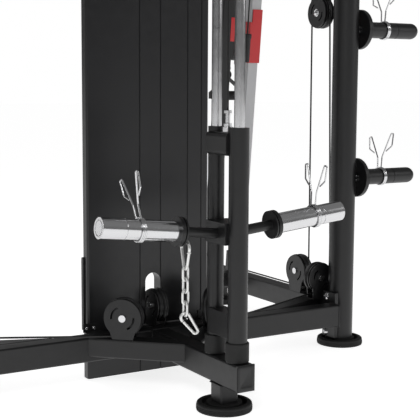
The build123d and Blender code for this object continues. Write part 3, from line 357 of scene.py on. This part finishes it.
def make_peg_nuts():
    """Hexagon nuts that clamp the storage pegs to the columns."""
    low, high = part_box("storage_pegs")
    column_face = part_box("rear_columns")[1][0]
    peg_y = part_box("rear_columns")[0][1] / 2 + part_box("rear_columns")[1][1] / 2
    disc_r = (high[1] - low[1]) / 2
    centres = [low[2] + disc_r, high[2] - disc_r]
    for name, side in SIDES.items():
        for level, z in zip(("lower", "upper"), centres):
            seat = (side * (column_face + 0.0006), peg_y, z)
            profile = [(0.0155, 0), (0.017, 0.0008), (0.017, 0.0042), (0.0155, 0.005)]
            nut = lathe(f"{level}_{name}_peg_nut", profile, seat, X * side, "chrome", "root", columns=6)
            nut.data.polygons.foreach_set("use_smooth", [False] * len(nut.data.polygons))


def make_stud_thread():
    """Rolled thread on the neck of the cable stud."""
    centre = middle("cable_stud")
    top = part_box("cable_stud")[1][2]
    pitch, turns = 0.0018, 12
    profile = []
    for i in range(turns):
        base = i * pitch
        profile += [(0.0052, base), (0.0062, base + pitch / 2)]
    profile.append((0.0052, turns * pitch))
    lathe("stud_thread", profile, (centre.x, centre.y, top - 0.0295), Z, "chrome", "carriage", columns=24)


def bead_path(corners, spacing=0.003):
    """Closely spaced points round a closed outline of corners."""
    points = []
    for start, end in zip(corners, corners[1:] + corners[:1]):
        start, end = Vector(start), Vector(end)
        steps = max(int((end - start).length / spacing), 1)
        points += [start.lerp(end, i / steps) for i in range(steps)]
    return points + [points[0]]


def weld(name, points, body="root", bead_r=0.0022):
    """A weld bead with its overlapping scales, painted over."""
    mesh_piece(name, *tube_mesh(points, bead_r, columns=8, ripple=0.16), "black_powder_coat", body)


def make_welds():
    """Beads at the root and the leg of the stub beam, and at the end flanges of the rear cross beam."""
    stub_low, stub_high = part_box("rear_stub_beam")
    half = TUBE_HALF
    beam_top = stub_high[2]
    beam_bottom = beam_top - BEAM_H
    root_y = stub_low[1] + 0.001
    weld("stub_root_weld", bead_path([(-half, root_y, beam_bottom), (half, root_y, beam_bottom),
                                      (half, root_y, beam_top), (-half, root_y, beam_top)]))
    leg_top = beam_bottom - 0.001
    pad_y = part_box("foot_pads")[1][1] - FOOT_R
    weld("stub_leg_weld", bead_path([(-half, pad_y - half, leg_top), (half, pad_y - half, leg_top),
                                     (half, pad_y + half, leg_top), (-half, pad_y + half, leg_top)]))
    flange_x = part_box("rear_base_beam")[1][0] - 0.006
    beam_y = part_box("rear_base_beam")[1][1] - half
    for name, side in SIDES.items():
        x = side * (flange_x - 0.001)
        near_y, far_y = beam_y - half, beam_y + half
        weld(f"{name}_flange_weld", bead_path([(x, near_y, beam_bottom), (x, near_y, beam_top),
                                               (x, far_y, beam_top), (x, far_y, beam_bottom)]))


def make_end_caps():
    """Moulded inserts that close the open ends of the square tubes, proud by one and a half millimetres."""
    stub_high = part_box("rear_stub_beam")[1]
    top_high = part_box("top_frame_beams")[1]
    ends = {
        "stub_end_cap": (stub_high[1], stub_high[2], BEAM_H),
        "spine_end_cap": (top_high[1], top_high[2], TOP_TUBE),
    }
    for name, (y, top, height) in ends.items():
        half_w, half_h, r = 0.0235, height / 2 - 0.0015, 0.006
        centre = Vector((0, y, top - height / 2))
        outline = []
        for quarter, (sx, sz) in enumerate(((1, 1), (-1, 1), (-1, -1), (1, -1))):
            pivot = Vector((sx * (half_w - r), 0, sz * (half_h - r)))
            angles = [math.radians(90 * quarter + 15 * i) for i in range(7)]
            outline += [pivot + X * r * math.cos(angle) + Z * r * math.sin(angle) for angle in angles]
        vertices = []
        for shrink, out in ((1.0, 0.0), (1.0, 0.0008), (0.96, 0.0015), (0.70, 0.0015), (0.66, 0.0009)):
            vertices += [centre + point * shrink + Y * out for point in outline]
        columns = len(outline)
        faces = strips(5, columns)
        faces.append(tuple(range(4 * columns, 5 * columns)))
        mesh_piece(name, vertices, faces, "black_plastic", "root")


def make_pad_rings():
    """Moulded grip rings round the rubber feet."""
    low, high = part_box("foot_pads")
    front_y, rear_y = low[1] + FOOT_R, high[1] - FOOT_R
    column_low, column_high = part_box("rear_columns")
    column_r = 0.038
    column_x, column_y = column_high[0] - column_r, (column_low[1] + column_high[1]) / 2
    front_x = 0.650
    places = {"centre_pad": (0, rear_y)}
    for name, side in SIDES.items():
        places[f"{name}_rear_pad"] = (side * column_x, column_y)
        places[f"{name}_front_pad"] = (side * front_x, front_y)
    for name, (x, y) in places.items():
        for i, z in enumerate((0.004, 0.0075, 0.011)):
            ring = arc((x, y, z), FOOT_R + 0.0002, 0, 360, X, Y, 72)
            mesh_piece(f"{name}_ring_{i}", *tube_mesh(ring, 0.0008, 6), "black_rubber", "root")


def make_grips():
    """Ribbed rubber sleeves on the pull handles."""
    for name in SIDES:
        low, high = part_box(f"{name}_handle")
        grip_z = low[2] + 0.015
        centre = (Vector(low) + Vector(high)) / 2
        half, ribs = 0.055, 22
        profile = []
        for i in range(ribs + 1):
            height = -half + 2 * half * i / ribs
            profile += [(0.0153, height), (0.0162, height + 0.0012), (0.0162, height + 0.0030),
                        (0.0153, height + 0.0042)]
        lathe(f"{name}_grip", profile, (centre.x, centre.y, grip_z), X, "black_rubber", f"{name}_handle")


def make_upright_mark():
    """A plain dark red plate on the back of the left upright's sleeve."""
    sleeve_half = 0.026
    foot_y, foot_z = -0.441, 0.132
    low_s, high_s = 0.802, 0.880
    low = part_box("front_uprights")[0]
    lean = Vector(JOINTS["left_adjuster_slide"]["axis"])
    back = X.cross(lean).normalized() * -1
    foot = Vector((low[0] + sleeve_half, foot_y, foot_z))
    left_edge, right_edge = -0.023, -0.007
    vertices = []
    for out in (0.0001, 0.0008):
        for s, x in ((low_s, left_edge), (low_s, right_edge), (high_s, right_edge), (high_s, left_edge)):
            vertices.append(foot + X * x + lean * s + back * (sleeve_half + out))
    faces = [(0, 3, 2, 1), (4, 5, 6, 7), (0, 1, 5, 4), (1, 2, 6, 5), (2, 3, 7, 6), (3, 0, 4, 7)]
    piece = mesh_piece("upright_mark", vertices, faces, "red_powder_coat", "root")
    piece.data.polygons.foreach_set("use_smooth", [False] * 6)


make_cables()
make_axle_caps()
make_peg_nuts()
make_stud_thread()
make_welds()
make_end_caps()
make_pad_rings()
make_grips()
make_upright_mark()


# ------------------------------------------------------------------ stage
def area_light(name, place, target, size, power):
    """A soft square light that faces a target."""
    data = bpy.data.lights.new(name, "AREA")
    data.size = size
    data.energy = power
    light = bpy.data.objects.new(name, data)
    light.location = place
    light.rotation_euler = (Vector(target) - Vector(place)).to_track_quat("-Z", "Y").to_euler()
    bpy.context.scene.collection.objects.link(light)


def pale_floor():
    """A white floor that glows a little, so that it meets the white surround without a horizon."""
    mesh = bpy.data.meshes.new("floor")
    reach = 30.0
    mesh.from_pydata([(-reach, -reach, 0), (reach, -reach, 0), (reach, reach, 0), (-reach, reach, 0)], [],
                     [(0, 1, 2, 3)])
    floor = bpy.data.objects.new("floor", mesh)
    paint = finish("floor_paint", (0.90, 0.90, 0.90), 0.6, grain=300, mottling=0.01, edge=1.0)
    shader = paint.node_tree.nodes["Principled BSDF"]
    shader.inputs["Emission Color"].default_value = (1, 1, 1, 1)
    shader.inputs["Emission Strength"].default_value = 0.80
    mesh.materials.append(paint)
    bpy.context.scene.collection.objects.link(floor)


def studio_world():
    """White where the camera looks, and a darker graded room for light and reflections."""
    world = bpy.data.worlds.new("studio")
    world.use_nodes = True
    tree = world.node_tree
    link = tree.links.new
    seen = tree.nodes["Background"]
    seen.inputs["Color"].default_value = (1, 1, 1, 1)
    seen.inputs["Strength"].default_value = 1.0
    room = add(tree, "ShaderNodeBackground", Strength=0.22)
    place = add(tree, "ShaderNodeTexCoord")
    split = add(tree, "ShaderNodeSeparateXYZ")
    ramp = add(tree, "ShaderNodeValToRGB")
    ramp.color_ramp.elements[0].position = 0.30
    ramp.color_ramp.elements[0].color = (0.35, 0.35, 0.35, 1)
    ramp.color_ramp.elements[1].position = 0.75
    ramp.color_ramp.elements[1].color = (1, 1, 1, 1)
    rise = add(tree, "ShaderNodeMapRange")
    rise.inputs["From Min"].default_value = -1
    link(place.outputs["Generated"], split.inputs["Vector"])
    link(split.outputs["Z"], rise.inputs["Value"])
    link(rise.outputs["Result"], ramp.inputs["Fac"])
    link(ramp.outputs["Color"], room.inputs["Color"])
    rays = add(tree, "ShaderNodeLightPath")
    mix = add(tree, "ShaderNodeMixShader")
    link(rays.outputs["Is Camera Ray"], mix.inputs["Fac"])
    link(room.outputs["Background"], mix.inputs[1])
    link(seen.outputs["Background"], mix.inputs[2])
    link(mix.outputs["Shader"], tree.nodes["World Output"].inputs["Surface"])
    bpy.context.scene.world = world


pale_floor()
studio_world()
area_light("key", (2.6, 3.2, 3.6), (0, 0, 0.8), 1.6, 48)
area_light("fill", (-3.2, 2.6, 2.0), (0, 0.2, 0.7), 1.6, 12)
area_light("front", (0.5, -3.6, 3.0), (0, 0, 1.0), 3.0, 30)
bpy.context.scene.view_settings.view_transform = "Standard"

# ------------------------------------------------------------------ camera
CAMERA_PLACE = Vector((1.324, 2.660, 0.800))
CAMERA_HEADING = Vector((-0.515, -0.857, 0.0)).normalized()
CAMERA_PITCH = math.radians(-7.03)
CAMERA_ROLL = math.radians(0.34)
forward = CAMERA_HEADING * math.cos(CAMERA_PITCH) + Z * math.sin(CAMERA_PITCH)
right = forward.cross(Z).normalized()
up = right.cross(forward)
turn = Matrix((right, up, -forward)).transposed().to_4x4()
camera_data = bpy.data.cameras.new("camera")
camera_data.lens = 90.4
camera_data.sensor_width = 36
camera = bpy.data.objects.new("camera", camera_data)
camera.matrix_world = Matrix.Translation(CAMERA_PLACE) @ turn @ Matrix.Rotation(CAMERA_ROLL, 4, "Z")
bpy.context.scene.collection.objects.link(camera)
bpy.context.scene.camera = camera
